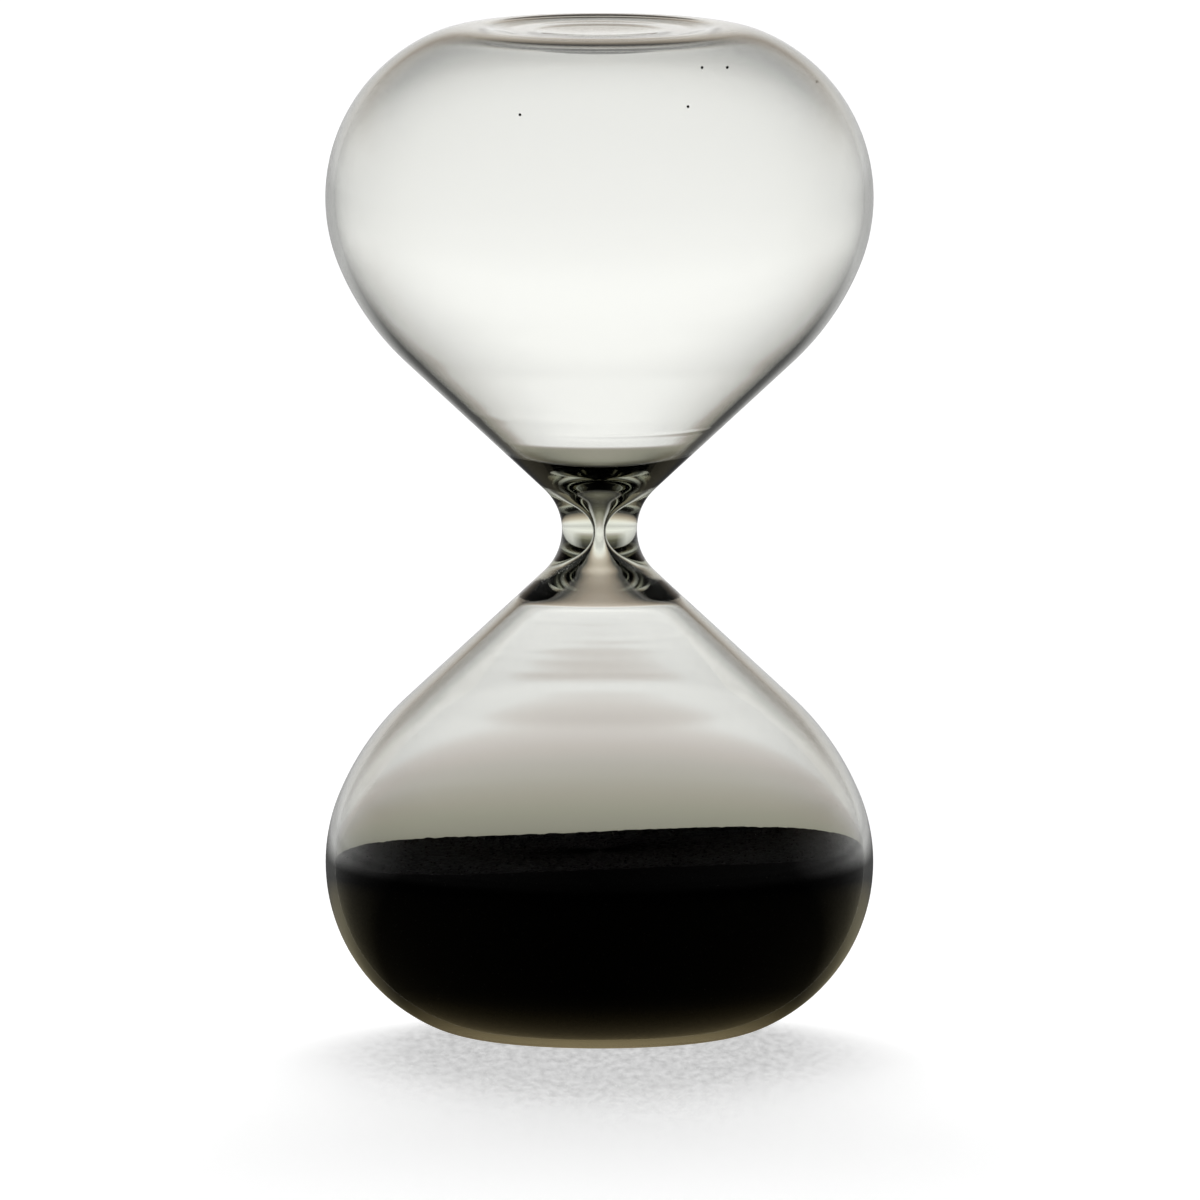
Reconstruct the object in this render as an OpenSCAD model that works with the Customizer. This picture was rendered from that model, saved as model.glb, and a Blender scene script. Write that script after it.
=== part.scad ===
// Frameless hourglass: two blown bulbs joined by a thick neck with a fine bore,
// each bulb closed by a seal in a shallow recess, with black sand sealed inside.
// Millimetres, +Z up. The origin is the centre of the ring that the glass stands on.

/* [Bulbs] */
// Outer diameter of each bulb at its widest circle
bulb_d = 100; // [90:1:112]
// Height of each half, from the waist to the ring at its end
bulb_h = 92.4; // [84:0.1:102]
// Height of a bulb's rounded end, as a share of the height of each half
crown_share = 0.34; // [0.32:0.005:0.36]
// Diameter of the ring at each end, as a share of the bulb diameter
ring_share = 0.445; // [0.41:0.005:0.48]
// Angle that the belly curve runs on towards the end before the tighter shoulder takes over
shoulder_angle = 64; // [56:1:72]
// Angle that the belly curve runs on towards the waist before the flank curve takes over
belly_angle = 22.4; // [18:0.2:28]
// Length of the straight part of the flank, as a share of the height of each half
straight_share = 0.375; // [0.3:0.005:0.42]
// Wall of the blown glass
wall = 1.6; // [1.2:0.1:2.2]

/* [Ends] */
// Width of the flat ring that an end stands on
land_w = 1.2; // [0.8:0.1:2.5]
// Depth of the shallow recess inside the ring
recess_depth = 0.8; // [0.4:0.1:1.4]
// Width of the slope from the ring down to the floor of the recess
recess_slope_w = 4.5; // [3:0.5:6]
// Diameter of the seal in the middle of the recess
seal_d = 24; // [18:1:28]
// Depth of the dimple on the outside of the seal
dimple_depth = 0.7; // [0.3:0.1:1.2]
// How far the button on the inside of the seal stands into the bulb
button_depth = 1; // [0.5:0.1:1.6]

/* [Neck] */
// Outer diameter of the waist
waist_d = 13.7; // [12:0.1:16]
// Radius of the hollow curve round the outside of the waist
waist_curve_r = 10.3; // [8:0.1:12]
// Diameter of the bore that the sand runs through
bore_d = 1.5; // [1:0.1:2.2]
// Radius of the rounded lip on each side of the bore
throat_r = 8.8; // [8:0.1:9.6]
// Height above the waist where the thick neck glass meets the upper bulb
neck_up = 14.8; // [13.4:0.2:17]
// Depth below the waist where the thick neck glass meets the lower bulb
neck_down = 13.2; // [12.4:0.2:16]
// Height over which the thick neck glass thins to the wall of the bulb
taper_h = 5; // [4:0.1:5.6]

/* [Sand] */
// Height of the sand in the middle, above the ring that the glass stands on
sand_level = 33.5; // [15:0.5:48]
// Fall of the sand towards the left side
sand_fall_left = 1.3; // [0:0.1:4]
// Fall of the sand towards the back
sand_fall_back = 1.5; // [0:0.1:4]
// Diameter of the grains that cling to the upper bulb
grain_d = 0.5; // [0.3:0.05:0.8]

/* [Hidden] */
$fn = 144;
glass_color = [0.84, 0.88, 0.84, 0.45];
sand_color = [0.03, 0.03, 0.03];
// Space past the ends of a cut, so that it passes clean through
past = 1;

// Each grain: turn about the axis, then height angle on the belly curve
clinging = [[-57, 58], [-48, 57], [-9, 44], [-67, 41], [-110, 38]];

bulb_r = bulb_d / 2;
ring_r = ring_share * bulb_d / 2;
crown_h = crown_share * bulb_h;
straight = straight_share * bulb_h;
seal_r = seal_d / 2;
waist_r = waist_d / 2;
bore_r = bore_d / 2;
grain_r = grain_d / 2;

// A curve's point at an angle from its centre, and the direction at an angle
function dir(angle) = [cos(angle), sin(angle)];

// The rounded end is half an oval: the belly curve runs into the tighter shoulder
oval_offset = (crown_h - bulb_r + ring_r) / (sin(shoulder_angle) + cos(shoulder_angle) - 1);
shoulder_r = bulb_r - ring_r - oval_offset * (1 - cos(shoulder_angle));
belly_r = shoulder_r + oval_offset;
belly_c = [bulb_r - belly_r, bulb_h - crown_h];
shoulder_c = [ring_r, bulb_h - shoulder_r];

// The flank curve touches the belly curve, and the straight flank joins it to the waist
waist_c = [waist_r + waist_curve_r, 0];
reach = belly_c - waist_c + belly_r * dir(-belly_angle);
flank_r = (reach * reach - waist_curve_r * waist_curve_r - straight * straight)
    / (2 * (waist_curve_r + reach * dir(-belly_angle)));
flank_c = belly_c + (belly_r - flank_r) * dir(-belly_angle);
span = flank_c - waist_c;
flank_angle = 180 - atan2(span.y, span.x) - atan2(straight, flank_r + waist_curve_r);
flank_in = dir(180 - flank_angle);
flank_up = dir(90 - flank_angle);
flank_start = waist_c + waist_curve_r * flank_in;

// Ends: the recess lies inside the ring, and the seal lies in its floor
land_r = ring_r - land_w;
recess_floor_r = land_r - recess_slope_w;
recess_floor = bulb_h - recess_depth;
dimple_r = (seal_r * seal_r + dimple_depth * dimple_depth) / (2 * dimple_depth);
button_r = (seal_r * seal_r + button_depth * button_depth) / (2 * button_depth);

// Neck: the throat curve runs from the bore to a funnel parallel to the flanks
throat_c = [bore_r + throat_r, 0];
funnel_start = throat_c + throat_r * flank_in;

// A point on a line through start, along the flanks, at a height above the waist
function on_flank(start, height) = start + flank_up * (height - start.y) / flank_up.y;

// Filled slice from the waist up, inside a hollow curve that ends on a slope
module hollow_slice(centre, radius) {
    tip = centre + radius * flank_in;
    difference() {
        polygon([[0, 0], [centre.x, 0], tip, [0, tip.y]]);
        translate(centre) circle(radius);
    }
}

// Filled slice between two points of an outline
module slope_slice(start, end) {
    polygon([[0, start.y], start, end, [0, end.y]]);
}

// Filled slice between two points of a curve that bulges away from the axis
module curve_slice(centre, radius, start, end) {
    slope_slice(start, end);
    intersection() {
        translate(centre) circle(radius);
        translate([0, start.y]) square([bulb_d, end.y - start.y]);
    }
}

// Outline of a bulb's cone, up to its widest circle, sunk by a depth from its outside
module cone_slice(low, depth) {
    start = on_flank(flank_start + depth * flank_in, low);
    flank_low = flank_c + (flank_r - depth) * dir(-flank_angle);
    flank_top = flank_c + (flank_r - depth) * dir(-belly_angle);
    slope_slice(start, flank_low);
    curve_slice(flank_c, flank_r - depth, flank_low, flank_top);
    curve_slice(belly_c, belly_r - depth, flank_top, [bulb_r - depth, belly_c.y]);
}

// Outline of a bulb's rounded end, from its widest circle, sunk by a depth
module dome_slice(depth) {
    shoulder_start = shoulder_c + (shoulder_r - depth) * dir(shoulder_angle);
    curve_slice(belly_c, belly_r - depth, [bulb_r - depth, belly_c.y], shoulder_start);
    curve_slice(shoulder_c, shoulder_r - depth, shoulder_start, [ring_r, bulb_h - depth]);
}

// The recess at an end, lowered by a depth
module recess_slice(depth) {
    translate([0, -depth])
        polygon([
            [0, bulb_h + past], [land_r, bulb_h + past], [land_r, bulb_h],
            [recess_floor_r, recess_floor], [0, recess_floor]
        ]);
}

// The button that the seal leaves on the inside of an end
module button_slice() {
    intersection() {
        translate([0, recess_floor - wall - button_depth + button_r]) circle(button_r);
        translate([0, recess_floor - wall - button_depth]) square([seal_r, button_depth]);
    }
}

// Hollow of a bulb's rounded end, down to the floor and button of its recess
module dome_hollow() {
    difference() {
        dome_slice(wall);
        recess_slice(wall);
        button_slice();
    }
}

// One half of the neck, from the waist to its joint with a bulb
module neck_half(neck_end) {
    funnel_end = on_flank(funnel_start, neck_end - taper_h);
    mouth = on_flank(flank_start + wall * flank_in, neck_end);
    difference() {
        union() {
            hollow_slice(waist_c, waist_curve_r);
            slope_slice(flank_start, on_flank(flank_start, neck_end));
        }
        union() {
            hollow_slice(throat_c, throat_r);
            slope_slice(funnel_start, funnel_end);
            slope_slice(funnel_end, mouth);
        }
    }
}

// Blown cone of a bulb, from the neck to the widest circle
module cone(neck_end) {
    rotate_extrude()
        difference() {
            cone_slice(neck_end, 0);
            cone_slice(neck_end, wall);
        }
}

// Rounded end of a bulb, from the widest circle to the ring, open for the seal
module dome() {
    rotate_extrude()
        difference() {
            dome_slice(0);
            dome_slice(wall);
            recess_slice(0);
            translate([0, belly_c.y]) square([seal_r, crown_h]);
        }
    // The floor of the recess, between the seal and the ring
    rotate_extrude()
        difference() {
            intersection() {
                recess_slice(wall);
                dome_slice(wall);
            }
            recess_slice(0);
            translate([0, belly_c.y]) square([seal_r, crown_h]);
        }
}

module seal() {
    rotate_extrude()
        difference() {
            union() {
                translate([0, recess_floor - wall]) square([seal_r, wall]);
                button_slice();
            }
            translate([0, recess_floor - dimple_depth + dimple_r]) circle(dimple_r);
        }
}

// Places one half of the glass above or below the waist
module upper_half() {
    translate([0, 0, bulb_h]) children();
}

module lower_half() {
    translate([0, 0, bulb_h]) mirror([0, 0, 1]) children();
}

module lower_dome() {
    color(glass_color) lower_half() dome();
}

module lower_seal() {
    color(glass_color) lower_half() seal();
}

module lower_cone() {
    color(glass_color) lower_half() cone(neck_down);
}

module neck() {
    color(glass_color) {
        upper_half() rotate_extrude() neck_half(neck_up);
        lower_half() rotate_extrude() neck_half(neck_down);
    }
}

module upper_cone() {
    color(glass_color) upper_half() cone(neck_up);
}

module upper_dome() {
    color(glass_color) upper_half() dome();
}

module upper_seal() {
    color(glass_color) upper_half() seal();
}

// The sand fills the lower hollow up to a slightly sloping top
module sand_bed() {
    color(sand_color)
        intersection() {
            lower_half()
                rotate_extrude()
                    union() {
                        dome_hollow();
                        cone_slice(neck_down, wall);
                    }
            translate([0, 0, sand_level])
                rotate([-sand_fall_back, -sand_fall_left, 0])
                    translate([-bulb_d, -bulb_d, -bulb_h])
                        cube([2 * bulb_d, 2 * bulb_d, bulb_h]);
        }
}

// Each grain touches the inside of the upper bulb
module clinging_grains() {
    color(sand_color)
        upper_half()
            for (grain = clinging) {
                place = belly_c + (belly_r - wall - grain_r) * dir(grain[1]);
                rotate([0, 0, grain[0]])
                    translate([place.x, 0, place.y])
                        sphere(grain_r);
            }
}

lower_dome();
lower_seal();
lower_cone();
neck();
upper_cone();
upper_dome();
upper_seal();
sand_bed();
clinging_grains();
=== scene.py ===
# %% [markdown]
# # A frameless hourglass
# Two blown bulbs grow out of one thick neck with a bore as fine as a needle. Each bulb
# ends in a flat ring round a shallow recess, so the glass stands on either end, and all
# of its black sand lies in the lower bulb.
#
# The measured model already holds every size. This notebook dresses it: first the wall
# of clear glass, then the sand and its stray grains, then the finishes, and last a pale
# studio. Clear glass shows little of itself and much of its room, so the room matters as
# much here as the glass does.

# %% Load the measured model
import bpy
import math
import numpy as np
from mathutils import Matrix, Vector


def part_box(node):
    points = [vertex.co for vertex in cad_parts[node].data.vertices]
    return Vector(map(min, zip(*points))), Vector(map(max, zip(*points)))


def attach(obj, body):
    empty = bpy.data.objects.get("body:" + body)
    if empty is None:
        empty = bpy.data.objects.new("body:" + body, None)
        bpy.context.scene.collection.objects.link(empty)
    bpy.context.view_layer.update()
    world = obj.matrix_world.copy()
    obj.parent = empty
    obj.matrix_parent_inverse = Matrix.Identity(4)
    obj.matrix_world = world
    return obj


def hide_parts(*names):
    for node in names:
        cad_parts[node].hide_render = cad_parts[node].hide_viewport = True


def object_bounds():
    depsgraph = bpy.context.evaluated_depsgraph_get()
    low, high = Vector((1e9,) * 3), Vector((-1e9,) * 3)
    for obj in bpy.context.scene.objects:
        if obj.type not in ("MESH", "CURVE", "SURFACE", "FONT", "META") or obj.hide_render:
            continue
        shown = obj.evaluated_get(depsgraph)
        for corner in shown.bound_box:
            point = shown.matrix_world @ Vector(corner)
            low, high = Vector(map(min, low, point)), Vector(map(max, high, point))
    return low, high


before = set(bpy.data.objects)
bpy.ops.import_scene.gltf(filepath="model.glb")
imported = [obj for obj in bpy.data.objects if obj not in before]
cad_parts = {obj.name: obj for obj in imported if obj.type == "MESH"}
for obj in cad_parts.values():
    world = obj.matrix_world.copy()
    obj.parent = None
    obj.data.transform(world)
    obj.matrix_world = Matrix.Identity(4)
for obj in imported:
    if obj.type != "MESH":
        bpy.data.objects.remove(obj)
cad_low, cad_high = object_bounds()
MM = 0.001
print("measured model", [round((b - a) / MM, 1) for a, b in zip(cad_low, cad_high)], "mm")

# %% [markdown]
# ## Sizes
# The boxes of the measured pieces tell most sizes: the dome gives the width, the neck its
# two ends, the seal its disc and button, and the sand's underside the wall below it.
# What a box can't tell stands here by name, as a glassblower would note it: how the
# curves share out the height, the waist, the bore and the lip round it.

# %% Sizes read from the boxes
height = cad_high[2] - cad_low[2]
bulb_h = height / 2
waist_z = cad_low[2] + bulb_h


def box_of(node):
    low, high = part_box(node)
    return Vector(low), Vector(high)


bulb_r = box_of("upper_dome")[1].x
neck_up = box_of("neck")[1].z - waist_z
neck_down = waist_z - box_of("neck")[0].z
wall = box_of("sand_bed")[0].z - cad_low[2]
seal_r = box_of("upper_seal")[1].x
recess_depth = cad_high[2] - box_of("upper_seal")[1].z
button_depth = box_of("upper_seal")[1].z - wall - box_of("upper_seal")[0].z
print("wall %.2f, neck %.1f up and %.1f down, button %.2f mm" % (
    wall / MM, neck_up / MM, neck_down / MM, button_depth / MM))

# %% Sizes noted by name
crown_share = 0.34
ring_share = 0.445
straight_share = 0.375
shoulder_angle = 64
belly_angle = 22.4
waist_r = 6.85 * MM
waist_curve_r = 10.3 * MM
bore_r = 0.75 * MM
lip_r = 8.8 * MM
taper_h = 5 * MM
land_w = 1.2 * MM
recess_slope_w = 4.5 * MM
dimple_depth = 0.7 * MM

# %% [markdown]
# ## The outline of one bulb
# A blown bulb is a chain of arcs, each running smoothly into the next: the hollow waist,
# a straight flank, a long flank curve, the belly, and a tighter shoulder that rolls over
# to the ring. A Bezier curve drawn by eye would be quicker, but arcs keep the true radii.
# So the script works out where they touch, and lays points along them.

# %% Where the arcs meet


def direction(degrees):
    angle = math.radians(degrees)
    return np.array([math.cos(angle), math.sin(angle)])


ring_r = ring_share * bulb_r
crown_h = crown_share * bulb_h
straight = straight_share * bulb_h
turn_gain = direction(shoulder_angle).sum() - 1
oval_offset = (crown_h - bulb_r + ring_r) / turn_gain
shoulder_r = bulb_r - ring_r - oval_offset * (1 - direction(shoulder_angle)[0])
belly_r = shoulder_r + oval_offset
belly_c = np.array([bulb_r - belly_r, bulb_h - crown_h])
shoulder_c = np.array([ring_r, bulb_h - shoulder_r])
print("belly radius %.1f, shoulder radius %.1f mm" % (belly_r / MM, shoulder_r / MM))

# %% The flank between belly and waist
waist_c = np.array([waist_r + waist_curve_r, 0])
belly_foot = direction(-belly_angle)
reach = belly_c - waist_c + belly_r * belly_foot
flank_r = (reach @ reach - waist_curve_r ** 2 - straight ** 2) / (
    2 * (waist_curve_r + reach @ belly_foot))
flank_c = belly_c + (belly_r - flank_r) * belly_foot
span_x, span_y = flank_c - waist_c
span_angle = math.degrees(math.atan2(span_y, span_x))
straight_angle = math.degrees(math.atan2(straight, flank_r + waist_curve_r))
flank_angle = 180 - span_angle - straight_angle
flank_in = direction(180 - flank_angle)
flank_up = direction(90 - flank_angle)
flank_start = waist_c + waist_curve_r * flank_in
print("flank leans %.1f degrees from the axis" % flank_angle)

# %% [markdown]
# ## Two faces of the wall
# The wall has an outside and an inside. Both follow the same arcs from the same centres,
# and the inside has the wall taken off each radius. Near the waist the inside leaves them
# for a rounded lip and a narrow funnel, because the neck is solid glass round its bore.
# At the end the outside dips into the recess, and the inside bulges over the button that
# sealed the bulb.

# %% Points along the arcs
ARC_STEP = 0.25 * MM


def arc(centre, radius, start, end):
    count = max(3, int(abs(math.radians(end - start)) * radius / ARC_STEP))
    return [centre + radius * direction(a) for a in np.linspace(start, end, count)]


def bulb_arcs(depth):
    return (arc(flank_c, flank_r - depth, -flank_angle, -belly_angle)
            + arc(belly_c, belly_r - depth, -belly_angle, shoulder_angle)
            + arc(shoulder_c, shoulder_r - depth, shoulder_angle, 90))


def recess_floor(depth):
    edge = ring_r - land_w
    floor = bulb_h - recess_depth - depth
    return [np.array([edge, bulb_h - depth]),
            np.array([edge - recess_slope_w, floor]),
            np.array([seal_r, floor])]


CAP_POINTS = 24


def shallow_cap(sink):
    level = bulb_h - recess_depth
    radius = (seal_r ** 2 + sink ** 2) / (2 * sink)
    across = np.linspace(seal_r, 0, CAP_POINTS)
    return [np.array([r, level - sink + radius - math.sqrt(radius ** 2 - r ** 2)]) for r in across]


# %% Outside and inside of one half


def on_flank(start, level):
    return start + flank_up * (level - start[1]) / flank_up[1]


def outside_half():
    waist = arc(waist_c, waist_curve_r, 180, 180 - flank_angle)
    return waist + bulb_arcs(0) + recess_floor(0) + shallow_cap(dimple_depth)


def inside_half(neck_end):
    lip_c = np.array([bore_r + lip_r, 0])
    lip = arc(lip_c, lip_r, 180, 180 - flank_angle)
    funnel_end = on_flank(lip[-1], neck_end - taper_h)
    mouth = on_flank(flank_start + wall * flank_in, neck_end)
    button = [point - [0, wall] for point in shallow_cap(button_depth)]
    return lip + [funnel_end, mouth] + bulb_arcs(wall) + recess_floor(wall) + button


# %% [markdown]
# Molten glass has no sharp corners. Each outline is laid out again at an even spacing and
# blurred along its own length. That rounds the ring, the recess and the neck's taper, and
# leaves the long arcs as they are. The inside gets more of it, because the flame smooths
# a thick place further in than a thin one.

# %% Round every corner
FINE_STEP = 0.1 * MM


def lay_out(points, step):
    points = np.array(points)
    lengths = np.hypot(*np.diff(points, axis=0).T)
    along = np.concatenate([[0], np.cumsum(lengths)])
    even = np.linspace(0, along[-1], int(along[-1] / step) + 1)
    return np.stack([np.interp(even, along, points[:, i]) for i in (0, 1)], axis=1)


def soften(points, blur):
    line = lay_out(points, FINE_STEP)
    reach_count = int(4 * blur / FINE_STEP)
    offsets = np.arange(-reach_count, reach_count + 1) * FINE_STEP
    weights = np.exp(-0.5 * (offsets / blur) ** 2)
    weights /= weights.sum()
    # Past the axis the line goes on as its own mirror image, so it meets it squarely.
    before = line[reach_count:0:-1] * [-1, 1]
    after = line[-2:-reach_count - 2:-1] * [-1, 1]
    padded = np.concatenate([before, line, after])
    return np.stack([np.convolve(padded[:, i], weights, "valid") for i in (0, 1)], axis=1)


def whole_outline(lower_half, upper_half, blur):
    lower = np.array(lower_half)[::-1] * [1, -1]
    line = soften(np.concatenate([lower[:-1], np.array(upper_half)]), blur)
    line[0, 0] = line[-1, 0] = 0
    line[:, 1] += waist_z
    return line


OUTSIDE_BLUR, INSIDE_BLUR = 0.5 * MM, 0.9 * MM
# Inside, the upper neck thins to the bulb's wall a little below its joint.
TAPER_DROP = 0.6 * MM
outside = whole_outline(outside_half(), outside_half(), OUTSIDE_BLUR)
inside = whole_outline(inside_half(neck_down), inside_half(neck_up - TAPER_DROP), INSIDE_BLUR)
middle = inside[len(inside) // 4:-len(inside) // 4]
print("bore %.2f mm across at its narrowest" % (2 * middle[:, 0].min() / MM))

# %% [markdown]
# ## What the flame leaves behind
# Glass drawn out on a lathe keeps the history of the pull: faint rings where the flame
# paused, mostly just past the neck, and a wall that is never quite even. A bump map could
# fake them, but rays bend in the real surface, so they are made here as thin ridges and a
# slow swell. A ridge of a hundredth of a millimetre is already seen as a line.
#
# Each draw mark has a height above the waist, a width and a depth in millimetres, the
# turn that it faces and how far round it runs, in degrees.

# %% Draw marks and swell
draw_marks = [
    (19.7, 0.22, 0.05, -55, 75), (22.5, 0.9, 0.02, -120, 90), (17.2, 0.5, 0.015, -90, 120),
    (-15.0, 0.35, 0.01, -120, 80), (-17.9, 0.4, 0.012, -60, 70), (-19.4, 0.7, 0.007, -100, 120),
    (-21.2, 0.5, 0.006, -130, 70), (-23.4, 0.6, 0.007, -110, 80), (-26.0, 0.9, 0.005, -70, 100),
    (-18.5, 0.6, 0.006, 80, 110), (-24.5, 0.8, 0.005, 110, 100)]


TOO_FAINT = 0.001


def mark_offset(turns, level):
    total = np.zeros_like(turns)
    for mark_h, width, depth, facing, spread in draw_marks:
        ridge = math.exp(-((level / MM - mark_h) / width) ** 2)
        if ridge < TOO_FAINT:
            continue
        away = (turns - math.radians(facing) + math.pi) % (2 * math.pi) - math.pi
        window = np.clip(1 - np.abs(away) / math.radians(spread), 0, 1)
        total += depth * MM * ridge * window * window * (3 - 2 * window)
    return total


SWELL = 0.003 * MM


def swell_offset(turns, level, shift):
    wave = np.sin(2 * turns + shift + level / (14 * MM))
    wave = wave + np.sin(3 * turns - 2 * shift + level / (9 * MM))
    # Always inward, so that the glass keeps its outer size.
    return SWELL * (wave - 2)


# %% [markdown]
# ## Spinning the wall
# The Screw modifier would spin an outline into a body, evenly all round. A small function
# does the same here and moves each point by the marks and the swell on the way. Rings lie
# closer together near the neck and the recess, where light bends most. Both faces go into
# one object, the inside turned over, because a closed wall with its normals outward is
# what tells the renderer where glass begins and ends.

# %% Thin out the outlines
WIDE_RING, FINE_RING = 1.1 * MM, 0.35 * MM
NECK_REACH, END_DEPTH, PAST_RING = 28 * MM, 5 * MM, 4 * MM


def needs_fine(point):
    from_waist = abs(point[1] - waist_z)
    near_end = from_waist > bulb_h - END_DEPTH and point[0] < ring_r + PAST_RING
    return from_waist < NECK_REACH or near_end


def thin_out(line):
    kept = [line[0]]
    gone = 0
    for last, point in zip(line[:-1], line[1:]):
        gone += math.dist(last, point)
        if gone >= (FINE_RING if needs_fine(point) else WIDE_RING):
            kept.append(point)
            gone = 0
    kept.append(line[-1])
    return np.array(kept)


# %% Spin both faces into one body
SIDES = 192
turns = np.linspace(0, 2 * math.pi, SIDES, endpoint=False)
SWELL_FROM_R, SWELL_FADE = 9 * MM, 8 * MM


def spin_face(line, shift, with_marks):
    rings = []
    for r, z in line[1:-1]:
        level = z - waist_z
        # Ends and neck stay true, so the glass stands flat and keeps its size.
        free = min(1, max(0, (r - SWELL_FROM_R) / SWELL_FADE))
        free *= min(1, max(0, (bulb_h - abs(level)) / SWELL_FADE))
        offset = free * swell_offset(turns, level, shift)
        if with_marks:
            offset = offset - mark_offset(turns, level)
        rings.append(np.stack([(r + offset) * np.cos(turns), (r + offset) * np.sin(turns),
                               np.full(SIDES, z)], axis=1))
    first, last = (0, 0, line[0][1]), (0, 0, line[-1][1])
    return np.concatenate([[first], *rings, [last]]), len(rings)


def face_indices(base, ring_count):
    top = base + 1 + ring_count * SIDES
    made = []
    for i in range(SIDES):
        j = (i + 1) % SIDES
        made.append((base, base + 1 + j, base + 1 + i))
        for k in range(ring_count - 1):
            a = base + 1 + k * SIDES
            made.append((a + i, a + j, a + SIDES + j, a + SIDES + i))
        a = top - SIDES
        made.append((a + i, a + j, top))
    return made


def mesh_piece(name, points, faces):
    mesh = bpy.data.meshes.new(name)
    mesh.from_pydata([tuple(p) for p in points], [], faces)
    mesh.shade_smooth()
    piece = bpy.data.objects.new(name, mesh)
    bpy.context.scene.collection.objects.link(piece)
    return piece


out_points, out_rings = spin_face(thin_out(outside), 0.4, True)
in_points, in_rings = spin_face(thin_out(inside), 2.1, False)
in_faces = [f[::-1] for f in face_indices(len(out_points), in_rings)]
glass = mesh_piece("glass_body", np.concatenate([out_points, in_points]),
                   face_indices(0, out_rings) + in_faces)
print("glass body has", len(glass.data.vertices), "points in", out_rings + in_rings, "rings")

# %% [markdown]
# ## The bed of sand
# The sand fills the lower bulb to about a third of its height. It lies against the wall
# like a liquid, and only its top has a form of its own: nearly level, a little higher to
# the right and the front, with the roughness of loose grains. A simulation of a million
# grains would give the same shape, so the bed is one body with a modelled top.

# %% The top of the sand
level_z = 33.5 * MM
sand_gap = 0.15 * MM
inner_r = bulb_r - wall
EDGE_SHARE = 0.96
EDGE_ROUGH, TOP_ROUGH = 0.06 * MM, 0.08 * MM
random = np.random.default_rng(11)


def surface_z(x, y):
    u, v = x / inner_r, y / inner_r
    return level_z + MM * (2.0 * u - 0.9 * u ** 3 - 2.45 * v ** 3)


# %% The body of the bed
BED_SIDES, WALL_RINGS, TOP_RINGS = 320, 60, 90
lower_inside = lay_out(inside[:len(inside) // 2], 0.25 * MM)
tangent = np.gradient(lower_inside, axis=0)
inward = np.stack([-tangent[:, 1], tangent[:, 0]], axis=1) / np.hypot(*tangent.T)[:, None]
bed_line = lower_inside + sand_gap * inward
bed_line[0, 0] = 0
bed_along = np.concatenate([[0], np.cumsum(np.hypot(*np.diff(bed_line, axis=0).T))])
ABOVE_FOOT = 15 * MM
past_foot = int(np.argmax(bed_line[:, 1] > ABOVE_FOOT))
bed_turns = np.linspace(0, 2 * math.pi, BED_SIDES, endpoint=False)


def sand_line_lengths():
    edge_r = EDGE_SHARE * inner_r
    levels = surface_z(edge_r * np.cos(bed_turns), edge_r * np.sin(bed_turns))
    levels += random.normal(0, EDGE_ROUGH, BED_SIDES)
    return np.interp(levels, bed_line[past_foot:, 1], bed_along[past_foot:])


def bed_points():
    cuts = sand_line_lengths()
    points = [(0, 0, bed_line[0, 1])]
    for k in range(1, WALL_RINGS + 1):
        along = cuts * k / WALL_RINGS
        r = np.interp(along, bed_along, bed_line[:, 0])
        z = np.interp(along, bed_along, bed_line[:, 1])
        points += list(zip(r * np.cos(bed_turns), r * np.sin(bed_turns), z))
    rim_r = np.interp(cuts, bed_along, bed_line[:, 0])
    for k in range(1, TOP_RINGS):
        r = rim_r * (1 - k / TOP_RINGS)
        x, y = r * np.cos(bed_turns), r * np.sin(bed_turns)
        z = surface_z(x, y) + random.normal(0, TOP_ROUGH, BED_SIDES)
        points += list(zip(x, y, z))
    points.append((0, 0, surface_z(0, 0)))
    return points


def bed_faces():
    rings = WALL_RINGS + TOP_RINGS - 1
    top = 1 + rings * BED_SIDES
    faces = []
    for i in range(BED_SIDES):
        j = (i + 1) % BED_SIDES
        faces.append((0, 1 + j, 1 + i))
        for k in range(rings - 1):
            a = 1 + k * BED_SIDES
            faces.append((a + i, a + j, a + BED_SIDES + j, a + BED_SIDES + i))
        a = top - BED_SIDES
        faces.append((a + i, a + j, top))
    return faces


sand = mesh_piece("sand", bed_points(), bed_faces())
print("sand bed has", len(sand.data.vertices), "points")

# %% [markdown]
# ## Loose grains
# Close up, the edge of the sand isn't a line but a row of grains. A particle system could
# scatter them, and a handful of small irregular stones, copied over the top, does it with
# fewer parts and the same result on every run. Each grain is an eight-sided stone with its
# corners moved a little.

# %% Scatter the loose grains
GRAINS = 900
grain_r = 0.2 * MM
octahedron = np.array([(1, 0, 0), (-1, 0, 0), (0, 1, 0), (0, -1, 0), (0, 0, 1), (0, 0, -1)])
octahedron_faces = [
    (0, 2, 4), (2, 1, 4), (1, 3, 4), (3, 0, 4), (2, 0, 5), (1, 2, 5), (3, 1, 5), (0, 3, 5)]


def loose_grain_mesh():
    points, faces = [], []
    for _ in range(GRAINS):
        turn = random.uniform(0, 2 * math.pi)
        r = (inner_r - 1.2 * MM) * math.sqrt(random.uniform(0.05, 1))
        x, y = r * math.cos(turn), r * math.sin(turn)
        size = grain_r * random.uniform(0.6, 1.3)
        stone = octahedron * size * random.uniform(0.7, 1.2, (6, 1))
        base = len(points)
        points += [(x + a, y + b, surface_z(x, y) + 0.3 * size + c) for a, b, c in stone]
        faces += [tuple(base + i for i in face) for face in octahedron_faces]
    return points, faces


loose_grains = mesh_piece("loose_grains", *loose_grain_mesh())
print(GRAINS, "loose grains on the sand")

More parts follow.
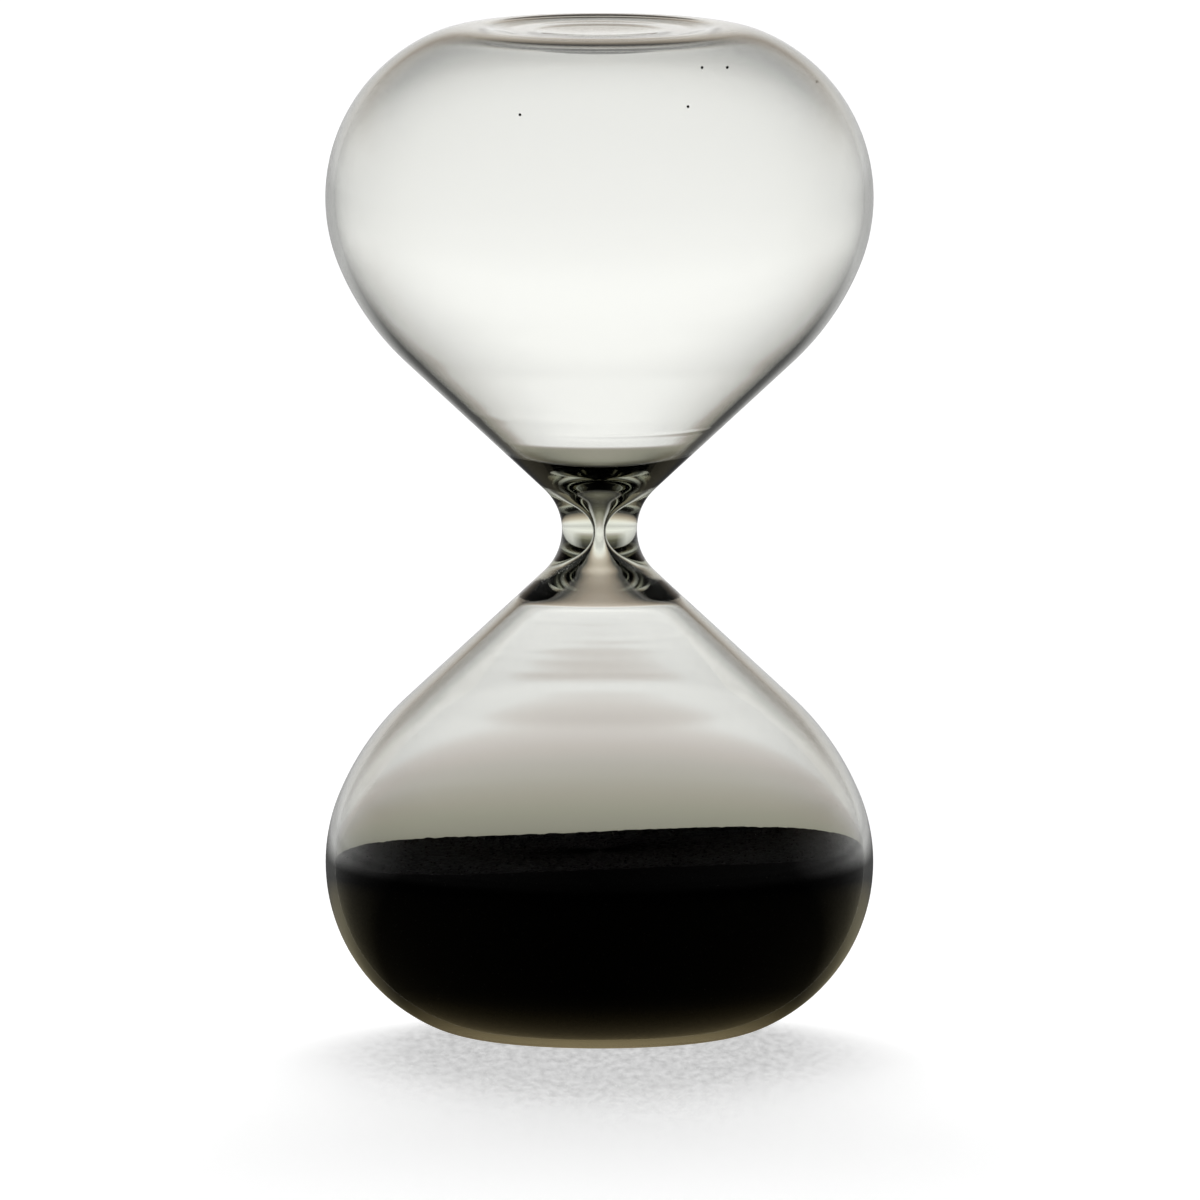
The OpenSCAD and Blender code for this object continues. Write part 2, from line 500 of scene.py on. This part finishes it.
# %% [markdown]
# ## Finishes
# Three small helpers keep the materials short: one adds a node with its values, one turns
# a slope of values into colours, and one starts a material. The noise that gives sand its
# grain and paper its mottle is the same effect at two scales, so it is a node group with
# named sockets, placed in each material with its own numbers.

# %% Helpers for node trees


def add(tree, kind, **values):
    node = tree.nodes.new(kind)
    for key, value in values.items():
        node.inputs[key.replace("_", " ")].default_value = value
    return node


def math_step(tree, operation, *values):
    node = tree.nodes.new("ShaderNodeMath")
    node.operation = operation
    for socket, value in zip(node.inputs, values):
        if isinstance(value, (int, float)):
            socket.default_value = value
        else:
            tree.links.new(value, socket)
    return node.outputs[0]


def ramp(tree, source, stops):
    node = tree.nodes.new("ShaderNodeValToRGB")
    elements = node.color_ramp.elements
    elements.remove(elements[-1])
    for place, _ in stops[1:]:
        elements.new(place)
    for element, (place, shade) in zip(elements, stops):
        element.position = place
        element.color = (*shade, 1) if isinstance(shade, tuple) else (shade, shade, shade, 1)
    tree.links.new(source, node.inputs[0])
    return node.outputs["Color"]


def mix_colours(tree, kind, share, a, b):
    node = tree.nodes.new("ShaderNodeMix")
    node.data_type = "RGBA"
    node.blend_type = kind
    if isinstance(share, int):
        node.inputs["Factor"].default_value = share
    else:
        tree.links.new(share, node.inputs["Factor"])
    tree.links.new(a, node.inputs["A"])
    tree.links.new(b, node.inputs["B"])
    return node.outputs["Result"]


def new_material(name):
    material = bpy.data.materials.new(name)
    material.use_nodes = True
    nodes = material.node_tree.nodes
    return material, material.node_tree, nodes["Principled BSDF"]


# %% The shared speckle


def speckle_group():
    tree = bpy.data.node_groups.new("speckle", "ShaderNodeTree")
    for name, value in (("Scale", 1000.0), ("Low", 0.0), ("High", 1.0)):
        socket = tree.interface.new_socket(name, in_out="INPUT", socket_type="NodeSocketFloat")
        socket.default_value = value
    tree.interface.new_socket("Value", in_out="OUTPUT", socket_type="NodeSocketFloat")
    enter = tree.nodes.new("NodeGroupInput")
    leave = tree.nodes.new("NodeGroupOutput")
    place = tree.nodes.new("ShaderNodeTexCoord")
    noise = add(tree, "ShaderNodeTexNoise", Detail=3.0, Roughness=0.6)
    spread = tree.nodes.new("ShaderNodeMapRange")
    spread.inputs["From Min"].default_value = 0.3
    spread.inputs["From Max"].default_value = 0.7
    tree.links.new(place.outputs["Object"], noise.inputs["Vector"])
    tree.links.new(enter.outputs["Scale"], noise.inputs["Scale"])
    tree.links.new(noise.outputs["Fac"], spread.inputs["Value"])
    tree.links.new(enter.outputs["Low"], spread.inputs["To Min"])
    tree.links.new(enter.outputs["High"], spread.inputs["To Max"])
    tree.links.new(spread.outputs["Result"], leave.inputs["Value"])
    return tree


speckle = speckle_group()


def add_speckle(tree, scale, low, high):
    node = tree.nodes.new("ShaderNodeGroup")
    node.node_tree = speckle
    for name, value in (("Scale", scale), ("Low", low), ("High", high)):
        node.inputs[name].default_value = value
    return node.outputs["Value"]


# %% [markdown]
# ## Clear glass
# Clear soda-lime glass bends light by an index near 1.47 and is faintly olive where light
# runs a long way in it: hardly at all across the thin wall, plainly in the solid neck. So
# the colour is a Volume Absorption, which counts the real length of each ray, and not a
# tint painted on. The rim darkens a little more than that where the wall is seen edge on,
# and that part is painted shade in the base colour, standing for the dark edges that clear
# glass takes from its room. The neck has been in the flame longest and is slightly hazy.

# %% The glass material
HAZE_CLEAR_AT, HAZE_FULL_AT = 18 * MM, 8 * MM
neck_haze = 0.05
# Painted shade: the base colour darkens towards the rim where the wall is seen edge on.
rim_shade_stops = [(0.3, (0.995, 0.995, 0.99)), (0.6, 0.95), (0.75, 0.9), (0.9, 0.6), (1.0, 0.3)]
glass_finish, tree, shader = new_material("clear_glass")
shader.inputs["IOR"].default_value = 1.47
shader.inputs["Transmission Weight"].default_value = 1
seen_at = add(tree, "ShaderNodeLayerWeight", Blend=0.5)
tree.links.new(ramp(tree, seen_at.outputs["Facing"], rim_shade_stops), shader.inputs["Base Color"])
olive = add(tree, "ShaderNodeVolumeAbsorption", Color=(0.47, 0.51, 0.3, 1), Density=44.0)
tree.links.new(olive.outputs[0], tree.nodes["Material Output"].inputs["Volume"])
position = tree.nodes.new("ShaderNodeNewGeometry")
parts = tree.nodes.new("ShaderNodeSeparateXYZ")
tree.links.new(position.outputs["Position"], parts.inputs[0])
from_waist = math_step(tree, "ABSOLUTE", math_step(tree, "SUBTRACT", parts.outputs["Z"], waist_z))
haze = tree.nodes.new("ShaderNodeMapRange")
haze_values = (
    ("From Min", HAZE_FULL_AT), ("From Max", HAZE_CLEAR_AT), ("To Min", neck_haze), ("To Max", 0.0))
for name, value in haze_values:
    haze.inputs[name].default_value = value
tree.links.new(from_waist, haze.inputs["Value"])
tree.links.new(haze.outputs["Result"], shader.inputs["Roughness"])
glass.data.materials.append(glass_finish)

# %% [markdown]
# ## Black sand
# The grains are fine and matt, and swallow nearly all light. A flat black would look like
# a hole, so the speckle gives each grain its own depth of black and its own small bump.

# %% The sand material
sand_finish, tree, shader = new_material("black_sand")
depth_of_black = add_speckle(tree, 1800.0, 0.0, 1.0)
black_stops = [
    (0.0, (0.0002, 0.0002, 0.0002)), (0.7, (0.0005, 0.0005, 0.0004)), (1.0, (0.002, 0.002, 0.0017))]
tree.links.new(ramp(tree, depth_of_black, black_stops), shader.inputs["Base Color"])
shader.inputs["Specular IOR Level"].default_value = 0.01
tree.links.new(add_speckle(tree, 2600.0, 1.0, 0.7), shader.inputs["Roughness"])
bump = add(tree, "ShaderNodeBump", Strength=0.6, Distance=0.2 * MM)
tree.links.new(depth_of_black, bump.inputs["Height"])
tree.links.new(bump.outputs[0], shader.inputs["Normal"])
for piece in (sand, loose_grains):
    piece.data.materials.append(sand_finish)
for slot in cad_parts["clinging_grains"].material_slots:
    slot.material = sand_finish

# %% [markdown]
# ## Riding on the measured model
# Nothing on this object turns or slides by itself: glass and sand are carried as one
# body. The new glass stands for the seven measured glass pieces, which stay hidden in
# their places, and the grains that cling in the upper bulb are shown as measured.

# %% Ride and replace
glass_nodes = [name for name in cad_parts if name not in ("sand_bed", "clinging_grains")]
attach(glass, "root")
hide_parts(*glass_nodes)
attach(sand, "root")
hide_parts("sand_bed")
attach(loose_grains, "root")
print("glass stands for", glass_nodes)

# %% [markdown]
# ## The pale floor
# The floor is plain white paper. Seen directly it is white with the object's soft shadow,
# and a faint mottle that shows only in the shadow: what the speckle adds to the paper's
# colour, it takes from the glow.
#
# Clear glass has no look without something to bend. Behind the object the table falls
# into shade towards it, and the glass shows that: dark just behind, bright further off.
# That shade is painted: rays that come through glass see the same floor with the shade
# painted in by distance, and a painted warm glow at its foot, only in a narrow wedge
# before and behind the object, and rays that bounce off glass see a dim painted one.

# %% Choose a surface by the kind of ray


def choose(tree, flag, no, yes):
    mix = tree.nodes.new("ShaderNodeMixShader")
    tree.links.new(flag, mix.inputs[0])
    tree.links.new(no, mix.inputs[1])
    tree.links.new(yes, mix.inputs[2])
    return mix.outputs[0]


def by_ray(tree, direct, through, mirrored, light):
    path = tree.nodes.new("ShaderNodeLightPath")
    bounced = math_step(tree, "GREATER_THAN", path.outputs["Glossy Depth"], 0.5)
    by_eye = math_step(tree, "LESS_THAN", path.outputs["Diffuse Depth"], 0.5)
    from_glass = math_step(
        tree, "MAXIMUM", path.outputs["Is Transmission Ray"], path.outputs["Is Glossy Ray"])
    in_glass = math_step(tree, "MULTIPLY", by_eye, from_glass)
    # Whatever isn't sight is lighting, so light is the answer when no flag is set.
    seen = choose(tree, in_glass, light, choose(tree, bounced, through, mirrored))
    return choose(tree, path.outputs["Is Camera Ray"], seen, direct)


# Strength of the mirrored room by its turn away from straight behind the object.
mirror_turns = [
    (0.0, 0.92), (0.04, 0.68), (0.2, 0.6), (0.28, 0.42), (0.36, 0.2), (0.5, 0.03), (1.0, 0.01)]


def turn_strength(tree, x, y):
    turn = math_step(tree, "ARCTAN2", math_step(tree, "ABSOLUTE", x), y)
    share = math_step(tree, "MULTIPLY", turn, 1 / math.pi)
    return ramp(tree, share, mirror_turns)


# %% The floor mesh
FLOOR_HALF = 15
GRAIN_STRETCH = 4
corners = [(x, y / GRAIN_STRETCH, 0) for x, y in (
    (-FLOOR_HALF, -FLOOR_HALF), (FLOOR_HALF, -FLOOR_HALF),
    (FLOOR_HALF, FLOOR_HALF), (-FLOOR_HALF, FLOOR_HALF))]
floor = mesh_piece("floor", corners, [(0, 1, 2, 3)])
# The paper's grain follows the object's own measure, so stretching the sheet stretches it.
floor.scale.y = GRAIN_STRETCH
floor.location.z = -0.1 * MM

# %% The floor seen directly
floor_finish = bpy.data.materials.new("white_paper")
floor_finish.use_nodes = True
tree = floor_finish.node_tree
tree.nodes.clear()
PAPER, GLOW, MOTTLE = 0.72, 0.6, 0.2
LIGHT_LEVEL = 0.53
mottle = add_speckle(tree, 650.0, -MOTTLE, MOTTLE)
paper = tree.nodes.new("ShaderNodeBsdfDiffuse")
paper_colour = tree.nodes.new("ShaderNodeCombineColor")
paper_value = math_step(tree, "ADD", mottle, PAPER)
for channel in ("Red", "Green", "Blue"):
    tree.links.new(paper_value, paper_colour.inputs[channel])
tree.links.new(paper_colour.outputs[0], paper.inputs["Color"])
glow = tree.nodes.new("ShaderNodeEmission")
steady = math_step(tree, "MULTIPLY_ADD", mottle, -LIGHT_LEVEL, GLOW)
tree.links.new(steady, glow.inputs["Strength"])
direct = tree.nodes.new("ShaderNodeAddShader")
tree.links.new(paper.outputs[0], direct.inputs[0])
tree.links.new(glow.outputs[0], direct.inputs[1])

# %% How bright the floor is at each distance
# Distance in metres from the object, and brightness in red, green and blue. All of these are
# painted: shade near the object, a warm painted glow at its foot, and the dim painted floor that the
# glass mirrors.
wedge_shades = [
    (0.0, (0.45, 0.34, 0.17)), (0.04, (0.3, 0.24, 0.13)), (0.08, (0.1, 0.085, 0.05)), (0.14, 0.05),
    (0.27, (0.16, 0.155, 0.12)), (0.33, (0.33, 0.325, 0.27)), (0.36, (0.375, 0.37, 0.305)),
    (0.4, (0.44, 0.42, 0.36)), (0.44, (0.5, 0.48, 0.43)), (0.48, (0.585, 0.56, 0.525)),
    (0.52, (0.67, 0.63, 0.6)), (0.55, (0.74, 0.7, 0.68)), (0.58, (0.81, 0.775, 0.755)),
    (0.61, (0.9, 0.88, 0.87)), (0.64, 1.0), (0.7, 1.06), (0.8, 1.1), (0.9, 1.16), (1.0, 1.22),
    (1.1, 1.22), (1.22, 1.15), (1.38, 1.09), (1.54, 1.07), (1.8, 1.05), (2.3, 1.04),
    (3.5, 0.98), (5, 0.9), (8, 0.86)]
aside_shades = [
    (0.0, 0.4), (0.1, 0.6), (0.2, 0.78), (0.3, 0.88), (0.5, 1.0), (0.8, 1.08), (1.1, 1.15),
    (1.54, 1.1), (2.56, 1.05), (5, 0.9), (8, 0.86)]
# Painted shade on the floor as the glass mirrors it: dark near the object, bright further off.
mirror_shades = [
    (0.0, (0.45, 0.38, 0.22)), (0.1, (0.34, 0.31, 0.22)), (0.16, (0.24, 0.22, 0.17)),
    (0.22, 0.12), (0.3, 0.14), (0.4, 0.5), (0.6, 0.9), (1.0, 0.85), (2.0, 0.85), (4, 1.0), (8, 1.05)]
# A painted pool of light round the foot, seen mirrored in the glass, stands for light that has come
# down through the glass.
base_glow_shades = [
    (0.0, (0.28, 0.23, 0.14)), (0.024, (0.26, 0.21, 0.12)), (0.034, (0.05, 0.04, 0.02)),
    (0.042, 0.0), (8, 0.0)]
BRIGHTEST = 1.25


def nearness(distance):
    return distance / (1 + distance)


def distance_ramp(tree, source, shades):
    stops = []
    for distance, shade in shades:
        colour = np.broadcast_to(shade, 3) / BRIGHTEST
        stops.append((nearness(distance), tuple(float(c) for c in colour)))
    return ramp(tree, source, stops)


# %% The floor seen through glass
WEDGE_FROM, WEDGE_TO = math.radians(18), math.radians(34)
place = tree.nodes.new("ShaderNodeNewGeometry")
parts = tree.nodes.new("ShaderNodeSeparateXYZ")
tree.links.new(place.outputs["Position"], parts.inputs[0])
length = tree.nodes.new("ShaderNodeVectorMath")
length.operation = "LENGTH"
tree.links.new(place.outputs["Position"], length.inputs[0])
metres = length.outputs["Value"]
near = math_step(tree, "DIVIDE", metres, math_step(tree, "ADD", metres, 1.0))
bearing = math_step(tree, "ARCTAN2", math_step(tree, "ABSOLUTE", parts.outputs["X"]),
                    math_step(tree, "ABSOLUTE", parts.outputs["Y"]))
aside = tree.nodes.new("ShaderNodeMapRange")
aside.inputs["From Min"].default_value = WEDGE_FROM
aside.inputs["From Max"].default_value = WEDGE_TO
tree.links.new(bearing, aside.inputs["Value"])
# Painted shade and a painted glow at the foot, on the floor as it is seen through glass.
in_wedge = distance_ramp(tree, near, wedge_shades)
beside = distance_ramp(tree, near, aside_shades)
all_round = mix_colours(tree, "MIX", aside.outputs["Result"], in_wedge, beside)
through = add(tree, "ShaderNodeEmission", Strength=BRIGHTEST)
tree.links.new(all_round, through.inputs["Color"])

# %% The floor mirrored in glass
strength = turn_strength(tree, parts.outputs["X"], parts.outputs["Y"])
mirror_shade = distance_ramp(tree, near, mirror_shades)
turned = mix_colours(tree, "MULTIPLY", 1, mirror_shade, strength)
base_glow = distance_ramp(tree, near, base_glow_shades)
mirrored = add(tree, "ShaderNodeEmission", Strength=BRIGHTEST)
tree.links.new(mix_colours(tree, "ADD", 1, turned, base_glow), mirrored.inputs["Color"])
leave = tree.nodes.new("ShaderNodeOutputMaterial")
surface = by_ray(
    tree, direct.outputs[0], through.outputs[0], mirrored.outputs[0], paper.outputs[0])
tree.links.new(surface, leave.inputs[0])
floor.data.materials.append(floor_finish)

# %% [markdown]
# ## Soft studio light
# One world does the work of the lamps. For lighting it is an even, soft room with a wide
# bright patch high behind the object, which draws the shadow forward under it. Seen
# directly it is as white as the floor, so that no horizon shows. Through glass it is white
# at the horizon and falls off quickly above, as behind a bench with one low bright screen:
# that dark ceiling is what gives solid glass its dark, olive folds.

# %% The world
world = bpy.data.worlds.new("studio")
bpy.context.scene.world = world
world.use_nodes = True
tree = world.node_tree
tree.nodes.clear()
sky = tree.nodes.new("ShaderNodeTexCoord")
parts = tree.nodes.new("ShaderNodeSeparateXYZ")
tree.links.new(sky.outputs["Generated"], parts.inputs[0])
white = add(tree, "ShaderNodeBackground", Color=(1, 1, 1, 1))
through_stops = [
    (0.0, 0.7), (0.03, 0.76), (0.08, 0.93), (0.13, (0.9, 0.87, 0.83)),
    (0.2, (0.62, 0.55, 0.48)), (0.3, (0.35, 0.3, 0.25)), (0.45, 0.06), (1.0, 0.02)]
mirror_stops = [
    (0.0, 1.1), (0.15, (1.05, 1.02, 0.98)), (0.25, (0.62, 0.55, 0.48)),
    (0.35, (0.35, 0.3, 0.25)), (0.45, 0.06), (1.0, 0.02)]
behind = add(tree, "ShaderNodeBackground", Strength=BRIGHTEST)
tree.links.new(ramp(tree, parts.outputs["Z"], through_stops), behind.inputs["Color"])
mirror = tree.nodes.new("ShaderNodeBackground")
tree.links.new(ramp(tree, parts.outputs["Z"], mirror_stops), mirror.inputs["Color"])
strength = turn_strength(tree, parts.outputs["X"], parts.outputs["Y"])
tree.links.new(strength, mirror.inputs["Strength"])

# %% The patch of light behind
PATCH_UP = math.radians(30)
toward = tree.nodes.new("ShaderNodeVectorMath")
toward.operation = "DOT_PRODUCT"
toward.inputs[1].default_value = (0, math.cos(PATCH_UP), math.sin(PATCH_UP))
tree.links.new(sky.outputs["Generated"], toward.inputs[0])
patch_stops = [(0.0, 0.0055), (0.86, 0.0055), (0.98, 1.0), (1.0, 1.0)]
PATCH_STRENGTH = 8.5
light = add(tree, "ShaderNodeBackground", Strength=PATCH_STRENGTH)
tree.links.new(ramp(tree, toward.outputs["Value"], patch_stops), light.inputs["Color"])
leave = tree.nodes.new("ShaderNodeOutputWorld")
surface = by_ray(tree, white.outputs[0], behind.outputs[0], mirror.outputs[0], light.outputs[0])
tree.links.new(surface, leave.inputs[0])

# %% [markdown]
# ## Camera
# A long lens from eight metres keeps the two bulbs the same size, as product pictures do,
# and a slight look down shows the recess at the top as a flat oval. Further off would be
# flatter still, but a camera that is moved round the object backs away to suit the lens and
# sees no further than a hundred times the object's half size. For this glass that is about
# eleven and a half metres, so from twelve the side views come out empty.

# %% The camera
LOOK_DOWN = math.radians(6.6)
CAMERA_FAR = 8.0
VIEW_W = 0.2189
SENSOR_W = 36
AIM_RIGHT, AIM_DROP = 0.1 * MM, 12.9 * MM
SEES_AS_FAR_AS = 60
camera_data = bpy.data.cameras.new("camera")
camera = bpy.data.objects.new("camera", camera_data)
bpy.context.scene.collection.objects.link(camera)
bpy.context.scene.camera = camera
aim = Vector((AIM_RIGHT, 0, waist_z - AIM_DROP))
camera.location = aim + CAMERA_FAR * Vector((0, -math.cos(LOOK_DOWN), math.sin(LOOK_DOWN)))
camera.rotation_euler = (aim - camera.location).to_track_quat("-Z", "Y").to_euler()
camera_data.sensor_width = SENSOR_W
camera_data.lens = SENSOR_W * CAMERA_FAR / VIEW_W
camera_data.clip_end = SEES_AS_FAR_AS
bpy.context.scene.view_settings.view_transform = "Standard"
